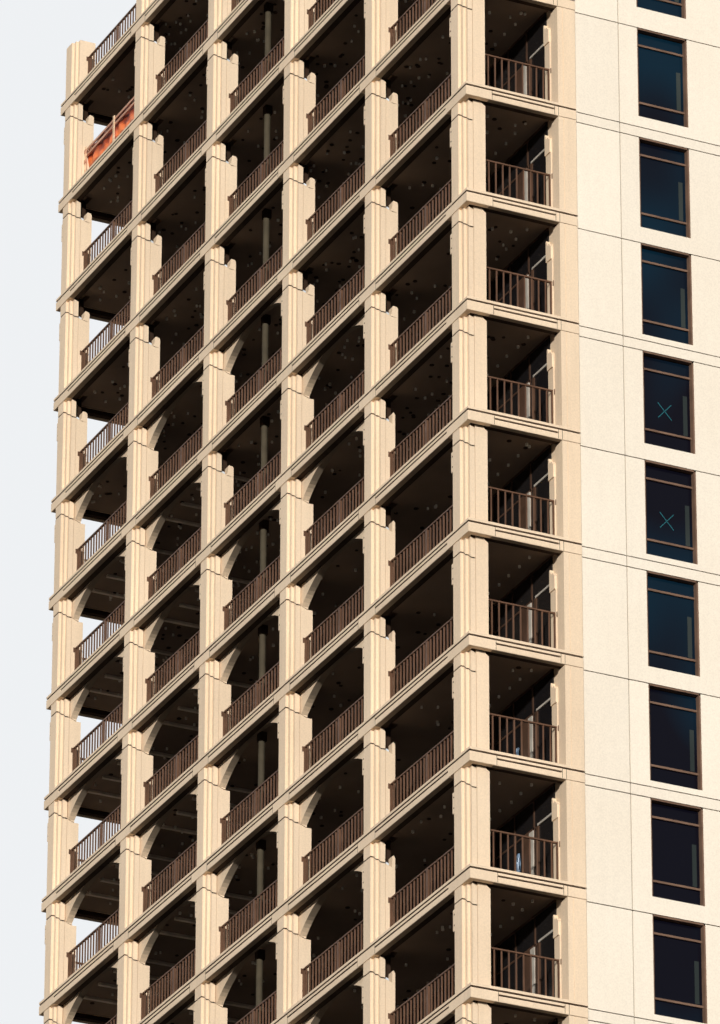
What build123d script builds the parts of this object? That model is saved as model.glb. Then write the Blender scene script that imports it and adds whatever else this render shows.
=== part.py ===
"""Apartment block with stepped columns, railed loggias and precast walls, as a 1:10 scale model.

Millimetres of the model: 100 mm here is 1 m of the real block.
The long front faces -Y, the short sides face +X and -X, and +Z is up.
The origin is the middle of the underside of the ground slab.
"""

from build123d import *
import os

os.makedirs("parts", exist_ok=True)

# Storeys, counted from the ground
GROUND_STOREY = 400.0
LOWER_STOREY = 305.0
LOWER_STOREYS = 8
TOP_STOREY = 320.0
TOP_STOREYS = 4

# Plan, over the faces of the edge beams
LENGTH = 2650.0
DEPTH = 1700.0
BAYS = 5
RIGHT_END = 69.0
LEFT_END = 49.5

# Columns: a flat nose with steps on both sides, and a plain flank behind them
NOSE_WIDTH = 39.5
TREAD = 13.0
RISER = 7.0
STEPS = 2
FLANK = 32.0
COLUMN_SETBACK = 5.0
ROOF_PIER = 170.0

# Slabs, and the edge beams with their cornice lip and the groove under it
GROUND_SLAB = 20.0
FLOOR_SLAB = 22.0
BEAM_HEIGHT = 38.0
LIP = 8.0
GROOVE_HEIGHT = 2.0
GROOVE_DEPTH = 3.0

# Sides: the open corner bay, the pier, and the wall panels with their windows
SIDE_BAY = 260.0
PIER_WIDTH = 50.0
PIER_DEPTH = 68.0
PANEL_SETBACK = 8.0
PANEL = 25.0
JOINT = 2.0
WINDOW_START = 492.0
WINDOW_WIDTH = 144.0
WINDOW_HEIGHT = 259.0
GLASS = 3.0
GLASS_SETBACK = 17.0
PARAPET = 110.0

# Glazed walls behind the loggias
GLAZING = 10.0

# Railings
RAIL_SETBACK = 45.0
RAIL_HEIGHT = 118.0
RAIL_DEPTH = 6.0
RAIL_TOP = 5.0

# Temporary guard in place of one railing: a top rail, a middle rail and a low sheet, on three posts
GUARD_TOP = 132.0
GUARD_RAIL = 9.0
GUARD_GAP = 20.0
GUARD_SHEET = 84.0
GUARD_DEPTH = 3.0
GUARD_POST = 6.0

# Arch panels under the edge beams of the front
ARCH_SETBACK = 37.0
ARCH_PANEL = 28.0
ARCH_SPRINGING = 59.0
ARCH_CROWN = 3.0

half_length = LENGTH / 2
half_depth = DEPTH / 2
fascia = PANEL_SETBACK + PANEL
column_width = NOSE_WIDTH + 2 * STEPS * TREAD
column_rear = fascia + FLANK
bay = (LENGTH - LEFT_END - RIGHT_END) / BAYS
column_xs = [LEFT_END - half_length + bay * k for k in range(BAYS + 1)]
bay_clear = bay - column_width
bay_middles = [x + bay / 2 for x in column_xs[:-1]]
pier_start = half_depth - SIDE_BAY
pier_end = pier_start - PIER_WIDTH

storeys = [GROUND_STOREY] + [LOWER_STOREY] * LOWER_STOREYS + [TOP_STOREY] * TOP_STOREYS
levels = [sum(storeys[: n + 1]) for n in range(len(storeys))]
roof = levels[-1]
rows = {"front": -1, "back": 1}
sides = {"right": 1, "left": -1}
on_floor = (Align.CENTER, Align.CENTER, Align.MIN)
under = (Align.CENTER, Align.CENTER, Align.MAX)


def save(piece, name):
    """Label one finished piece and write it as its own STEP file."""
    piece.part.label = name
    export_step(piece.part, f"parts/{name}.step")


def column_outline(x, end):
    """Plan of a column at x, from the nose round to the flanks; end is -1 in front, +1 at the back."""
    nose = half_depth - COLUMN_SETBACK
    right = [(x + NOSE_WIDTH / 2, nose)]
    for step in range(1, STEPS + 1):
        edge = x + NOSE_WIDTH / 2 + step * TREAD
        right += [(edge - TREAD, nose - step * RISER), (edge, nose - step * RISER)]
    right.append((x + column_width / 2, half_depth - column_rear))
    left = [(2 * x - px, py) for px, py in reversed(right)]
    return [(px, end * py) for px, py in right + left]


# Ground slab
with BuildPart() as ground_slab:
    with BuildSketch():
        Rectangle(LENGTH, DEPTH)
    extrude(amount=GROUND_SLAB)
save(ground_slab, "ground_slab")

# Floor slabs, in groups of storeys, with a seat for the flanks of every column
slab_groups = {
    "low_floor_slabs": levels[0:4],
    "middle_floor_slabs": levels[4:8],
    "high_floor_slabs": levels[8:12],
    "roof_slab": levels[12:],
}
flank_y = half_depth - fascia - FLANK / 2
for name, group in slab_groups.items():
    with BuildPart() as floor_slabs:
        with BuildSketch(*[Plane.XY.offset(level - FLOOR_SLAB) for level in group]):
            Rectangle(LENGTH - 2 * fascia, DEPTH - 2 * fascia)
            with Locations(*[(x, end * flank_y) for x in column_xs for end in (-1, 1)]):
                Rectangle(column_width, FLANK, mode=Mode.SUBTRACT)
        extrude(amount=FLOOR_SLAB)
    save(floor_slabs, name)

# Columns, each in one height from the ground slab to above the roof
for name, end in rows.items():
    for number, x in enumerate(column_xs, start=1):
        with BuildPart() as column:
            with BuildSketch(Plane.XY.offset(GROUND_SLAB)):
                with BuildLine():
                    Polyline(*column_outline(x, end), close=True)
                make_face()
            extrude(amount=roof + ROOF_PIER - GROUND_SLAB)
        save(column, f"{name}_column_{number}")

# Edge beams round each end of the block, from pier to pier, with the groove under their lip
seat = column_rear - COLUMN_SETBACK
for name, end in rows.items():
    return_depth = half_depth - pier_end
    with BuildPart() as edge_beams:
        with BuildSketch(*[Plane.XY.offset(level - BEAM_HEIGHT) for level in levels]):
            with Locations((0, end * (half_depth - return_depth / 2))):
                Rectangle(LENGTH, return_depth)
            with Locations((0, end * (half_depth - fascia - return_depth / 2))):
                Rectangle(LENGTH - 2 * fascia, return_depth, mode=Mode.SUBTRACT)
            with Locations(*[(x, end * (half_depth - COLUMN_SETBACK - seat / 2)) for x in column_xs]):
                Rectangle(column_width, seat, mode=Mode.SUBTRACT)
        extrude(amount=BEAM_HEIGHT)
        with BuildSketch(*[Plane.XY.offset(level - LIP - GROOVE_HEIGHT) for level in levels]):
            Rectangle(2 * LENGTH, 2 * DEPTH)
            Rectangle(LENGTH - 2 * GROOVE_DEPTH, DEPTH - 2 * GROOVE_DEPTH, mode=Mode.SUBTRACT)
        extrude(amount=GROOVE_HEIGHT, mode=Mode.SUBTRACT)
    save(edge_beams, f"{name}_edge_beams")

# Piers that end the open corner bays, a storey high, seated under the slab and the edge beam
for name, out in sides.items():
    pier_x = out * (half_length - PIER_DEPTH / 2)
    pier_y = (pier_start + pier_end) / 2
    with BuildPart() as side_piers:
        with Locations((pier_x, -pier_y, GROUND_SLAB), (pier_x, pier_y, GROUND_SLAB)):
            Box(PIER_DEPTH, PIER_WIDTH, roof - GROUND_SLAB, align=on_floor)
        with Locations(*[(0, 0, level) for level in levels]):
            Box(LENGTH - 2 * fascia, DEPTH, FLOOR_SLAB, align=under, mode=Mode.SUBTRACT)
        with Locations(*[(out * half_length, 0, level) for level in levels]):
            Box(2 * fascia, DEPTH, BEAM_HEIGHT, align=under, mode=Mode.SUBTRACT)
    save(side_piers, f"{name}_piers")

# Wall panels of the sides, a storey high, and the windows whose heads are at their upper joints
joint_levels = [level - BEAM_HEIGHT for level in levels]
window_y = half_depth - WINDOW_START - WINDOW_WIDTH / 2
heads = [(y, z - JOINT / 2) for z in joint_levels for y in (-window_y, window_y)]
for name, out in sides.items():
    wall_x = out * (half_length - PANEL_SETBACK - PANEL / 2)
    glass_x = out * (half_length - PANEL_SETBACK - GLASS_SETBACK - GLASS / 2)
    with BuildPart() as wall_panels:
        with Locations((wall_x, 0, GROUND_SLAB)):
            Box(PANEL, 2 * pier_end, roof + PARAPET - GROUND_SLAB, align=on_floor)
        with Locations(*[(wall_x, y, z) for y, z in heads]):
            Box(PANEL, WINDOW_WIDTH, WINDOW_HEIGHT, align=under, mode=Mode.SUBTRACT)
        with Locations(*[(wall_x, 0, z) for z in joint_levels]):
            Box(PANEL, DEPTH, JOINT, mode=Mode.SUBTRACT)
    save(wall_panels, f"{name}_wall_panels")
    with BuildPart() as windows:
        with Locations(*[(glass_x, y, z) for y, z in heads]):
            Box(GLASS, WINDOW_WIDTH, WINDOW_HEIGHT, align=under)
    save(windows, f"{name}_windows")

# Glazed walls behind the front and back loggias, from pier to pier
glazing_width = LENGTH - 2 * PIER_DEPTH
for name, end in rows.items():
    y = end * (pier_start - GLAZING / 2)
    with BuildPart() as glazing:
        with Locations((0, y, GROUND_SLAB)):
            Box(glazing_width, GLAZING, roof - GROUND_SLAB, align=on_floor)
        with Locations(*[(0, y, level) for level in levels]):
            Box(glazing_width, GLAZING, FLOOR_SLAB, align=under, mode=Mode.SUBTRACT)
    save(glazing, f"{name}_glazing")

# Handrails of the loggias and of the roof, one a bay, but not where the temporary guard stands
rail_z = RAIL_HEIGHT - RAIL_TOP / 2
guard_place = (bay_middles[0], rows["front"], levels[-2])
for name, end in rows.items():
    places = [(x, end, level) for level in levels for x in bay_middles]
    rail_y = end * (half_depth - RAIL_SETBACK)
    rail_places = [(x, rail_y, level + rail_z) for x, side, level in places if (x, side, level) != guard_place]
    with BuildPart() as railings:
        with Locations(*rail_places):
            Box(bay_clear, RAIL_DEPTH, RAIL_TOP)
    save(railings, f"{name}_railings")
side_start = half_depth - column_rear
for name, out in sides.items():
    rail_x = out * (half_length - RAIL_SETBACK)
    rail_y = (side_start + pier_start) / 2
    with BuildPart() as side_railings:
        with Locations(*[(rail_x, end * rail_y, level + rail_z) for level in levels for end in (-1, 1)]):
            Box(RAIL_DEPTH, side_start - pier_start, RAIL_TOP)
    save(side_railings, f"{name}_railings")

# Temporary guard: two rails and a low sheet across the bay, nailed to posts behind them
guard_x, _, guard_z = guard_place
guard_y = RAIL_SETBACK - half_depth
middle_top = GUARD_TOP - GUARD_RAIL - GUARD_GAP
sheet_top = middle_top - GUARD_RAIL
post_xs = [guard_x + share * (bay_clear - GUARD_POST) for share in (-0.5, 0, 0.5)]
with BuildPart() as temporary_guard:
    with Locations((guard_x, guard_y, guard_z + GUARD_TOP), (guard_x, guard_y, guard_z + middle_top)):
        Box(bay_clear, GUARD_DEPTH, GUARD_RAIL, align=under)
    with Locations((guard_x, guard_y, guard_z + sheet_top)):
        Box(bay_clear, GUARD_DEPTH / 2, GUARD_SHEET, align=under)
    with Locations(*[(x, guard_y + GUARD_DEPTH, guard_z) for x in post_xs]):
        Box(GUARD_POST, GUARD_DEPTH, GUARD_TOP, align=on_floor)
save(temporary_guard, "temporary_guard")

# Arch panels of the front: for each bay from the left, the levels that it has them under
arch_levels = [levels[:9], levels[:9], levels[:7] + levels[8:9], levels[:8]]
arch_places = [(x, level - FLOOR_SLAB) for x, tops in zip(bay_middles, arch_levels) for level in tops]
half_arch = bay_clear / 2
springing = FLOOR_SLAB - BEAM_HEIGHT - ARCH_SPRINGING
with BuildSketch() as arch:
    with BuildLine():
        Polyline((half_arch, springing), (half_arch, 0), (-half_arch, 0), (-half_arch, springing))
        ThreePointArc((-half_arch, springing), (0, -ARCH_CROWN), (half_arch, springing))
    make_face()
with BuildPart() as arch_panels:
    with BuildSketch(Plane.XZ.offset(half_depth - ARCH_SETBACK)):
        with Locations(*arch_places):
            add(arch.sketch)
    extrude(amount=-ARCH_PANEL)
save(arch_panels, "front_arch_panels")
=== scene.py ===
"""Looks of the apartment block: a 1:10 scale model, in metres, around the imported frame.

The front faces -Y and the right side +X. A tenth of a metre is 1 m of the block. A depth is measured inwards
from the face of the edge beams, and a place along a side from the beam face of the nearer row.
"""

import random
from math import copysign, cos, pi, radians, sin, sqrt, tau

import bpy
from mathutils import Matrix, Vector


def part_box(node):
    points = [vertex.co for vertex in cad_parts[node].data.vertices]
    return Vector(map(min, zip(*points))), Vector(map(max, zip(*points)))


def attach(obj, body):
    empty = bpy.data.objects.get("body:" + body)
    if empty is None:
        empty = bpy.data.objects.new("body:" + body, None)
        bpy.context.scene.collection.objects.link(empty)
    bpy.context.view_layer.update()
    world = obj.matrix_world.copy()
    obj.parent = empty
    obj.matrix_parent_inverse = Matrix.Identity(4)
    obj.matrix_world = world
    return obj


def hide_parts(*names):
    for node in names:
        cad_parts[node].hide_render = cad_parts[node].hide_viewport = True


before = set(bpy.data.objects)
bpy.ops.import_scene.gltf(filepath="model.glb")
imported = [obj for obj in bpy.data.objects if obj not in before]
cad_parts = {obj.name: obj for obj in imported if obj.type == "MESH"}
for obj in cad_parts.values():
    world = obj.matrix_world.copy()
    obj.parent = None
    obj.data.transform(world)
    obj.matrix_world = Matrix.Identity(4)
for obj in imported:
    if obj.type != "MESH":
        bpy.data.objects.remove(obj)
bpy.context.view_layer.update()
random.seed(5)

# Storeys, from the ground
STOREYS = [0.400] + [0.305] * 8 + [0.320] * 4
LEVELS = [sum(STOREYS[: n + 1]) for n in range(len(STOREYS))]
GROUND_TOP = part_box("ground_slab")[1].z
FLOORS = [GROUND_TOP] + LEVELS[:-1]
ROOF = LEVELS[-1]

# Plan
HALF_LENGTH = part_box("front_edge_beams")[1].x
HALF_DEPTH = -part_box("front_edge_beams")[0].y
CORNER_COLUMN = 0.0495
BAY = 0.5063
BAYS = 5
COLUMN_XS = [CORNER_COLUMN - HALF_LENGTH + BAY * k for k in range(BAYS + 1)]
ROWS = {"front": -1, "back": 1}
SIDES = {"right": 1, "left": -1}

# Slabs and edge beams; lip, slot and groove are heights over the beam's underside
SLAB = 0.022
FASCIA = 0.033
BEAM_HEIGHT = 0.038
ARRIS = 0.0008
LIP = 0.0155
LIP_HEIGHT = 0.0145
SLOT = (0.0146, 0.0194)
GROOVE = (0.0256, 0.0306)
GROOVE_DEPTH = 0.006
GROOVE_SPLAY = 0.0003
SIDE_SLOT = (0.073, 0.249)
FILLER = (0.0014, 0.0065)
SIDE_FILLER = (0.0042, 0.0065)
LINE_DEPTHS = (-0.0003, 0.001)
LINE_HALF = 0.0005

# Columns; a joint is a drop below the beam's underside
NOSE = 0.0395
TREAD = 0.013
RISER = 0.0075
STEPS = 2
HALF_COLUMN = NOSE / 2 + STEPS * TREAD
COLUMN_SETBACK = 0.002
COLUMN_REAR = FASCIA + 0.032
COLUMN_END = 0.170
FOOT = 0.002
HEAD_REAR = 0.031
HEAD_RISE = 0.008
HEAD_SLOPE = 0.6
HEAD_GAP = 0.0036
NOSE_JOINT = 0.037
FLANK_JOINT = 0.059
REAR_JOINT = 0.066
EAR_START = 0.049
EAR_WIDTH = 0.021
OPEN_STRIP = 0.016
NARROW_REAR = 0.057
NARROW_NUMBER = 5
NARROW_LEVELS = 7
PAD_WIDTH = 0.0135
PAD_DEPTHS = (0.0105, 0.019)
PAD_DROPS = (0.058, 0.003)
BOLT_DROPS = (0.016, 0.044)
BOLT_ACROSS = 0.007
BOLT_RADIUS = 0.0022
SHIM_EDGES = (0.0015, 0.0145)
SHIM_DEPTHS = (0.0335, 0.0405)
SHIM_LIFTS = (-0.001, 0.0065)

# Arch panels, with the levels that have one in each front bay from the left, and battens on slabs
ARCH_FRONT = 0.0335
ARCH_THICK = 0.0185
ARCH_CROWN = 0.003
ARCH_SEGMENTS = 40
ARCH_LEVELS = (range(9), range(9), (*range(7), 8), range(8))
BATTEN_LEVELS = 8
BATTEN_BAYS = 2
BATTENS_A_BAY = 4
BATTEN_HALF = 0.005
BATTEN_DEPTHS = (0.068, 0.252)
BATTEN_DROP = 0.007

# Piers, panelled sides and their windows
PIER_START = 0.260
PIER_END = 0.310
PIER_DEPTH = 0.068
PIER_REBATE = 0.0145
PIER_CORE = 0.004
SEAT_DROP = 0.0235
PANEL_SETBACK = 0.008
PANEL = 0.025
PARAPET = 0.110
JOINT = 0.0026
JOINT_HEIGHTS = [GROUND_TOP] + [level - BEAM_HEIGHT for level in LEVELS] + [ROOF + PARAPET]
PANEL_JOINT = 0.438
BAND_JOINT = 0.028
WINDOW_START = 0.492
WINDOW_WIDTH = 0.144
WINDOW_END = WINDOW_START + WINDOW_WIDTH
WINDOW_HEIGHT = 0.259
GLASS_DEPTH = PANEL_SETBACK + 0.017
BLIND_ALONG = (0.120, 0.132)
BLIND_HEIGHTS = (0.054, 0.165)
TAPE_LEVELS = (6, 5)
TAPE_MIDDLE = (0.068, 0.150)
TAPE_REACH = (0.019, 0.021)

# Railings
RAIL_SETBACK = 0.045
RAIL_HEIGHT = 0.118
RAIL_HALF = 0.0032
RAIL_THICK = 0.004
LOW_RAIL = (0.010, 0.0135)
FLANGE = 0.0016
END_POST_HALF = 0.0030
MIDDLE_POST_HALF = 0.0050
POST_CLEARANCE = 0.006
LONG_RUN = 0.3
BALUSTER_HALF = 0.0016
BALUSTER_PITCH = 0.0187

# Loggias
INNER_WIDTH = HALF_LENGTH - PIER_DEPTH
MULLIONS = 24
DOOR_HEAD = 0.202
FIXINGS_REACH = 1.24
FIXINGS_PITCH = 0.0575
FIXINGS_IN_ROW = 44
BUSY_LEVEL = 6
POST_DEPTH = 0.060
POST_RADIUS = 0.0085
POST_BRACKET = 0.025
WIDE_FILM_LEVEL = 5

# Guard, with heights over its floor
GUARD_BAY = 0
GUARD_LEVEL = 11
GUARD_RAILS = (0.132, 0.1145)
GUARD_BRACKETS = (0.128, 0.094)
GUARD_POST = 0.009
GUARD_POST_HEIGHT = 0.138

BOX_FACES = [[3, 2, 1, 0], [4, 5, 6, 7], [0, 1, 5, 4], [1, 2, 6, 5], [2, 3, 7, 6], [3, 0, 4, 7]]


def new_object(name, data):
    obj = bpy.data.objects.new(name, data)
    bpy.context.scene.collection.objects.link(obj)
    return obj


class Shape:
    """Collects the vertices and faces of one piece, with a tint for each face."""

    def __init__(self):
        self.points = []
        self.faces = []
        self.tints = []
        self.tint = 0.5

    def add(self, points, faces):
        start = len(self.points)
        self.points += points
        self.faces += [[start + i for i in face] for face in faces]
        self.tints += [self.tint] * len(faces)

    def box(self, x0, x1, y0, y1, z0, z1):
        x0, x1 = sorted((x0, x1))
        y0, y1 = sorted((y0, y1))
        corners = ((x0, y0), (x1, y0), (x1, y1), (x0, y1))
        self.add([(x, y, z) for z in (z0, z1) for x, y in corners], BOX_FACES)

    def prism(self, outline, z0, z1):
        """A plan outline, drawn either way round, raised from z0 to z1."""
        area = sum(a[0] * b[1] - b[0] * a[1] for a, b in zip(outline, outline[1:] + outline[:1]))
        if area < 0:
            outline = outline[::-1]
        n = len(outline)
        points = [(x, y, z) for z in (z0, z1) for x, y in outline]
        sides = [[i, (i + 1) % n, n + (i + 1) % n, n + i] for i in range(n)]
        self.add(points, [list(range(n))[::-1], list(range(n, 2 * n))] + sides)

    def sweep(self, rings, turned=False):
        """Rings of equally many points, joined one to the next and closed at both ends."""
        if turned:
            rings = rings[::-1]
        n = len(rings[0])
        faces = []
        for r in range(len(rings) - 1):
            for i in range(n):
                j = (i + 1) % n
                faces.append([r * n + i, r * n + j, (r + 1) * n + j, (r + 1) * n + i])
        faces.append(list(range(n))[::-1])
        faces.append([(len(rings) - 1) * n + i for i in range(n)])
        self.add([point for ring in rings for point in ring], faces)

    def sheet(self, points, across, down, thickness, tint_at):
        """A closed thin sheet facing -Y, over points given column by column from the top."""
        step = down + 1
        count = len(points)
        faces = []
        tints = []
        for i in range(across):
            for j in range(down):
                k = i * step + j
                faces.append([k, k + 1, k + step + 1, k + step])
                faces.append([count + n for n in (k + step, k + step + 1, k + 1, k)])
                tints += [tint_at(i, j)] * 2
        loop = [i * step for i in range(across + 1)] + [across * step + j for j in range(1, step)]
        loop += [i * step + down for i in range(across - 1, -1, -1)] + list(range(down - 1, 0, -1))
        for a, b in zip(loop, loop[1:] + loop[:1]):
            faces.append([a, b, count + b, count + a])
            tints.append(0.5)
        self.add(points + [(x, y + thickness, z) for x, y, z in points], faces)
        self.tints[-len(faces):] = tints

    def piece(self, name, material, replaces=()):
        """The finished object: one material, a tint a face, riding on the one body."""
        mesh = bpy.data.meshes.new(name)
        mesh.from_pydata(self.points, [], self.faces)
        tint = mesh.attributes.new("tint", "FLOAT", "FACE")
        tint.data.foreach_set("value", self.tints)
        mesh.materials.append(material)
        mesh.update()
        obj = new_object(name, mesh)
        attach(obj, "root")
        if replaces:
            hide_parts(*replaces)


# Materials


class Look:
    """The nodes of one material, or of the world, and the common ways to add to them."""

    def __init__(self, owner):
        owner.use_nodes = True
        self.owner = owner
        self.nodes = owner.node_tree.nodes
        self.links = owner.node_tree.links
        self.shader = self.nodes.get("Principled BSDF")

    def feed(self, socket, value):
        """Links an output to a socket, or sets the socket to a constant."""
        if isinstance(value, bpy.types.NodeSocket):
            self.links.new(value, socket)
        else:
            socket.default_value = value

    def place(self, scale=(1, 1, 1)):
        """Object coordinates, with a scale an axis for streaks and grain."""
        coordinates = self.nodes.new("ShaderNodeTexCoord")
        mapping = self.nodes.new("ShaderNodeMapping")
        mapping.inputs["Scale"].default_value = scale
        self.links.new(coordinates.outputs["Object"], mapping.inputs["Vector"])
        return mapping.outputs["Vector"]

    def noise(self, place, scale, detail=4.0):
        texture = self.nodes.new("ShaderNodeTexNoise")
        texture.inputs["Scale"].default_value = scale
        texture.inputs["Detail"].default_value = detail
        self.links.new(place, texture.inputs["Vector"])
        return texture.outputs["Fac"]

    def tint(self):
        attribute = self.nodes.new("ShaderNodeAttribute")
        attribute.attribute_name = "tint"
        return attribute.outputs["Fac"]

    def ramp(self, value, *stops):
        """Colours between stops, each a position and a colour of three parts."""
        node = self.nodes.new("ShaderNodeValToRGB")
        elements = node.color_ramp.elements
        for element, (position, colour) in zip(elements, (stops[0], stops[-1])):
            element.position = position
            element.color = (*colour, 1.0)
        for position, colour in stops[1:-1]:
            elements.new(position).color = (*colour, 1.0)
        self.links.new(value, node.inputs["Fac"])
        return node.outputs["Color"]

    def mix(self, kind, factor, first, second):
        node = self.nodes.new("ShaderNodeMix")
        node.data_type = "RGBA"
        node.blend_type = kind
        for socket, value in (("Factor", factor), ("A", first), ("B", second)):
            self.feed(node.inputs[socket], value)
        return node.outputs["Result"]

    def maths(self, operation, *values):
        node = self.nodes.new("ShaderNodeMath")
        node.operation = operation
        for socket, value in zip(node.inputs, values):
            self.feed(socket, value)
        return node.outputs["Value"]

    def blend(self, factor, first, second, output):
        """One shader turning into another by a factor, at an output node."""
        node = self.nodes.new("ShaderNodeMixShader")
        for socket, value in zip(node.inputs, (factor, first, second)):
            self.links.new(value, socket)
        self.links.new(node.outputs["Shader"], self.nodes[output].inputs["Surface"])

    def finish(self, colour, roughness, specular=None):
        """Colour, roughness and reflection for the shader; returns the material."""
        self.links.new(colour, self.shader.inputs["Base Color"])
        self.feed(self.shader.inputs["Roughness"], roughness)
        if specular is not None:
            self.shader.inputs["Specular IOR Level"].default_value = specular
        return self.owner


def material_look(name):
    return Look(bpy.data.materials.new(name))


def shade(factor):
    return (factor, factor, factor)


def stone(name, colour, dark, rain, grain=0.12, tints=(0.93, 1.05)):
    """Precast concrete with soft clouds, rain streaks, fine specks and a tint a panel."""
    look = material_look(name)
    plain = look.place()
    streaked = look.place((9, 9, 0.7))
    base = look.ramp(look.noise(plain, 3.2), (0.3, dark), (0.62, colour))
    streaks = look.ramp(look.noise(streaked, 6.0), (0.32, shade(rain)), (0.6, shade(1.0)))
    specks = look.ramp(look.noise(plain, 260.0, 2.0), (0.3, shade(0.93)), (0.7, shade(1.04)))
    panel = look.ramp(look.tint(), (0.0, shade(tints[0])), (1.0, shade(tints[1])))
    for layer in (streaks, specks, panel):
        base = look.mix("MULTIPLY", 1.0, base, layer)
    bump = look.nodes.new("ShaderNodeBump")
    bump.inputs["Strength"].default_value = grain
    bump.inputs["Distance"].default_value = 0.0006
    look.links.new(look.noise(plain, 420.0, 3.0), bump.inputs["Height"])
    look.links.new(bump.outputs["Normal"], look.shader.inputs["Normal"])
    return look.finish(base, 0.82)


def slab_concrete():
    """Floor slabs: grey-brown tops, and browner undersides, a painted shade tone."""
    look = material_look("slab_concrete")
    plain = look.place()
    top = look.ramp(look.noise(plain, 5.0), (0.3, (0.17, 0.15, 0.13)), (0.7, (0.25, 0.22, 0.19)))
    # Painted shade: every face that does not face up gets the browner colour.
    under = look.ramp(look.noise(plain, 7.0), (0.3, (0.205, 0.148, 0.108)), (0.7, (0.285, 0.210, 0.155)))
    normal = look.nodes.new("ShaderNodeNewGeometry")
    split = look.nodes.new("ShaderNodeSeparateXYZ")
    look.links.new(normal.outputs["Normal"], split.inputs["Vector"])
    up = look.ramp(split.outputs["Z"], (0.0, shade(0.0)), (0.2, shade(1.0)))
    return look.finish(look.mix("MIX", up, under, top), 0.9)


def paint(name, colour, roughness=0.42):
    """One colour, darker and shinier in places."""
    look = material_look(name)
    plain = look.place()
    darker = [part * 0.72 for part in colour]
    base = look.ramp(look.noise(plain, 22.0), (0.35, darker), (0.65, colour))
    rough = look.ramp(look.noise(plain, 60.0), (0.3, shade(roughness - 0.07)), (0.7, shade(roughness + 0.1)))
    return look.finish(base, rough, 0.2)


def glossy(name, first, second):
    """A smooth surface that drifts between two colours."""
    look = material_look(name)
    clouds = look.noise(look.place(), 2.2, 1.0)
    return look.finish(look.ramp(clouds, (0.42, first), (0.6, second)), 0.12, 0.16)


def guard_wood(name, dark, middle, light):
    """Weathered boards with grain along them."""
    look = material_look(name)
    grain = look.noise(look.place((3, 30, 90)), 4.0)
    return look.finish(look.ramp(grain, (0.3, dark), (0.5, middle), (0.7, light)), 0.7)


def tinted(name, scale, *stops):
    """Colours picked by the tint of each face, broken up by noise."""
    look = material_look(name)
    value = look.maths("MULTIPLY_ADD", look.noise(look.place(scale), 2.4), 0.25, look.tint())
    return look.finish(look.ramp(value, *stops), 0.55)


CONCRETE = (0.875, 0.700, 0.515)
PRECAST = stone("precast", CONCRETE, (0.832, 0.656, 0.476), 0.95)
# A darker copy of the precast concrete, with tints reaching down to about a quarter: painted shade for
# undersides.
PAINTED_SHADE_UNDERSIDES = stone("undersides", CONCRETE, (0.80, 0.63, 0.455), 0.95, tints=(0.26, 0.98))
PANELS = stone("wall_panels", (0.905, 0.827, 0.710), (0.888, 0.802, 0.680), 0.98, grain=0.05)
SLABS = slab_concrete()
BRONZE = paint("bronze", (0.150, 0.080, 0.050), 0.5)
FRAMES = paint("window_frames", (0.22, 0.135, 0.095))
# The frame colour, darker for the frames deep in the loggias: painted shade.
FRAMES_IN_PAINTED_SHADE = paint("loggia_frames", (0.10, 0.055, 0.036))
LININGS = paint("door_linings", (0.56, 0.52, 0.46))
FIXINGS = paint("soffit_fixings", (0.98, 0.93, 0.84), 0.7)
POSTS = paint("loggia_posts", (0.085, 0.070, 0.046), 0.8)
BATTENS = paint("soffit_battens", (0.88, 0.78, 0.66), 0.8)
# Near black: filler in real joints, and painted shade in grooves, recesses and holes.
JOINT_FILL_AND_PAINTED_SHADE = paint("joint_filler_and_painted_shade", (0.040, 0.022, 0.013), 0.85)
SHIMS = paint("packing_shims", (0.80, 0.86, 0.94), 0.7)
GLASS = glossy("window_glass", (0.004, 0.004, 0.009), (0.003, 0.017, 0.034))
LOGGIA_GLASS = glossy("loggia_glazing", (0.012, 0.011, 0.012), (0.020, 0.017, 0.016))
TAPE = glossy("window_tape", (0.02, 0.12, 0.15), (0.03, 0.18, 0.22))
BLINDS = glossy("window_blinds", (0.026, 0.034, 0.034), (0.045, 0.056, 0.054))
RAIL_WOOD = guard_wood("guard_rails", (0.38, 0.17, 0.10), (0.55, 0.30, 0.20), (0.66, 0.42, 0.30))
POST_WOOD = guard_wood("guard_posts", (0.62, 0.40, 0.24), (0.78, 0.56, 0.37), (0.86, 0.68, 0.50))
# Colours by height: dark at the top, painted shade under the rails; a bright orange band, painted light on a
# fold; darker and mid tones lower down.
ORANGE_SHEET = tinted("guard_sheet", (9, 3, 14),
                      (0.10, (0.22, 0.040, 0.018)), (0.30, (0.36, 0.060, 0.022)), (0.37, (0.84, 0.19, 0.050)),
                      (0.50, (0.88, 0.25, 0.085)), (0.57, (0.30, 0.055, 0.025)), (0.64, (0.60, 0.18, 0.090)),
                      (0.85, (0.68, 0.23, 0.130)))
# Faces from dark to pale blue at random: painted glints and shade on the crumpled film.
FILM = tinted("door_film", (30, 30, 30),
              (0.2, (0.012, 0.022, 0.040)), (0.6, (0.10, 0.19, 0.32)), (0.95, (0.46, 0.58, 0.74)))


# Places and common forms


def depth_x(side, depth):
    """X at a depth behind the beam face of a side."""
    return side * (HALF_LENGTH - depth)


def depth_y(row, depth):
    """Y at a depth behind the beam face of a row."""
    return row * (HALF_DEPTH - depth)


def bay_ends(bay, margin=0.0):
    """X of a bay's ends between its columns, less a margin at each end."""
    reach = HALF_COLUMN + margin
    return COLUMN_XS[bay] + reach, COLUMN_XS[bay + 1] - reach


def lifted(pair, base):
    return base + pair[0], base + pair[1]


def circle(x, y, radius, sides):
    angles = [k * tau / sides for k in range(sides)]
    return [(x + radius * cos(a), y + radius * sin(a)) for a in angles]


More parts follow.
